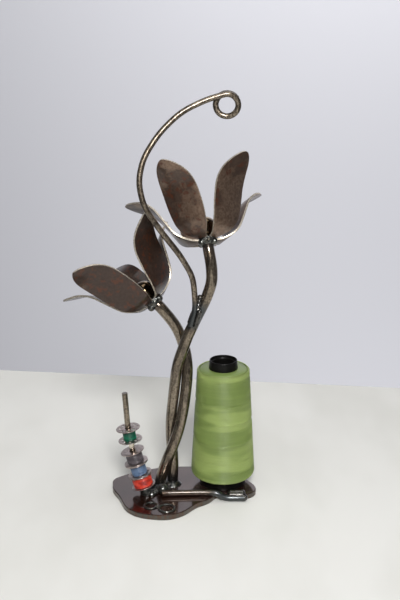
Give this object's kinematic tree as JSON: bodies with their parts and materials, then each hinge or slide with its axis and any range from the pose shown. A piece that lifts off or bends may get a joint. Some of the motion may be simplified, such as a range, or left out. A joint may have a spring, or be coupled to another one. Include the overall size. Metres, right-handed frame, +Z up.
{
  "type": "thread rack",
  "caption": "Free-standing welded steel rack with twisted stems and two metal flowers, a leaning post of wound bobbins, a cone of thread on a pin and a curled wire eye above it.",
  "frame": {"origin": "on the table under the base plate, below the feet of the twisted stems", "axes": "+Z up, +X toward the cone of thread, -Y toward the front with the foot rod and bobbins"},
  "size_m": [0.1681, 0.1376, 0.3446],
  "materials": {
    "plate_steel": "clear-lacquered bare steel plate with brown tint, glossy",
    "rod_steel": "clear-lacquered steel rod, glossy, warm grey",
    "petal_steel": "clear-lacquered sheet with rust-brown mottles, glossy",
    "ball_steel": "polished ball",
    "weld_steel": "lumpy weld metal under clear lacquer",
    "bobbin_metal": "thin bright pressed metal",
    "red_thread": "sewing thread",
    "blue_thread": "sewing thread",
    "grey_thread": "sewing thread",
    "green_thread": "sewing thread",
    "cone_thread": "fine overlock thread, olive green",
    "core_plastic": "black moulded plastic"
  },
  "bodies": {
    "stand": {"base_plate": "plate_steel", "upper_stem": "rod_steel", "lower_stem": "rod_steel", "guide_arm": "rod_steel", "bobbin_post": "rod_steel", "foot_rod": "rod_steel", "cone_spindle": "rod_steel", "upper_petal_1": "petal_steel", "upper_petal_2": "petal_steel", "upper_petal_3": "petal_steel", "upper_petal_4": "petal_steel", "upper_petal_5": "petal_steel", "lower_petal_1": "petal_steel", "lower_petal_2": "petal_steel", "lower_petal_3": "petal_steel", "lower_petal_4": "petal_steel", "lower_petal_5": "petal_steel", "upper_ball": "ball_steel", "lower_ball": "ball_steel", "upper_flower_weld": "weld_steel", "lower_flower_weld": "weld_steel", "stem_foot_weld": "weld_steel", "guide_arm_weld": "weld_steel", "post_foot_weld": "weld_steel", "foot_rod_weld": "weld_steel", "plate_bead_rings": "weld_steel"},
    "red_bobbin": {"red_bobbin_spool": "bobbin_metal", "red_thread_pack": "red_thread", "red_thread_turns": "red_thread"},
    "blue_bobbin": {"blue_bobbin_spool": "bobbin_metal", "blue_thread_pack": "blue_thread", "blue_thread_turns": "blue_thread"},
    "grey_bobbin": {"grey_bobbin_spool": "bobbin_metal", "grey_thread_pack": "grey_thread", "grey_thread_turns": "grey_thread"},
    "green_bobbin": {"green_bobbin_spool": "bobbin_metal", "green_thread_pack": "green_thread", "green_thread_turns": "green_thread"},
    "thread_cone": {"cone_core": "core_plastic", "cone_thread_pack": "cone_thread", "cone_thread_turns": "cone_thread"}
  },
  "joints": [
    {"name": "red_bobbin_spin", "type": "hinge", "parent": "stand", "child": "red_bobbin", "pos_m": [-0.02061, -0.0215, 0.01837], "axis": [-0.2738, 0, 0.9618], "continuous": true},
    {"name": "blue_bobbin_spin", "type": "hinge", "parent": "stand", "child": "blue_bobbin", "pos_m": [-0.02371, -0.0215, 0.02928], "axis": [-0.2738, 0, 0.9618], "continuous": true},
    {"name": "grey_bobbin_spin", "type": "hinge", "parent": "stand", "child": "grey_bobbin", "pos_m": [-0.02682, -0.0215, 0.0402], "axis": [-0.2738, 0, 0.9618], "continuous": true},
    {"name": "green_bobbin_spin", "type": "hinge", "parent": "stand", "child": "green_bobbin", "pos_m": [-0.03075, -0.0215, 0.06099], "axis": [-0.1623, 0, 0.9867], "continuous": true},
    {"name": "cone_lift", "type": "slide", "parent": "stand", "child": "thread_cone", "axis": [0, 0, 1], "range_m": [0, 0.038]}
  ]
}
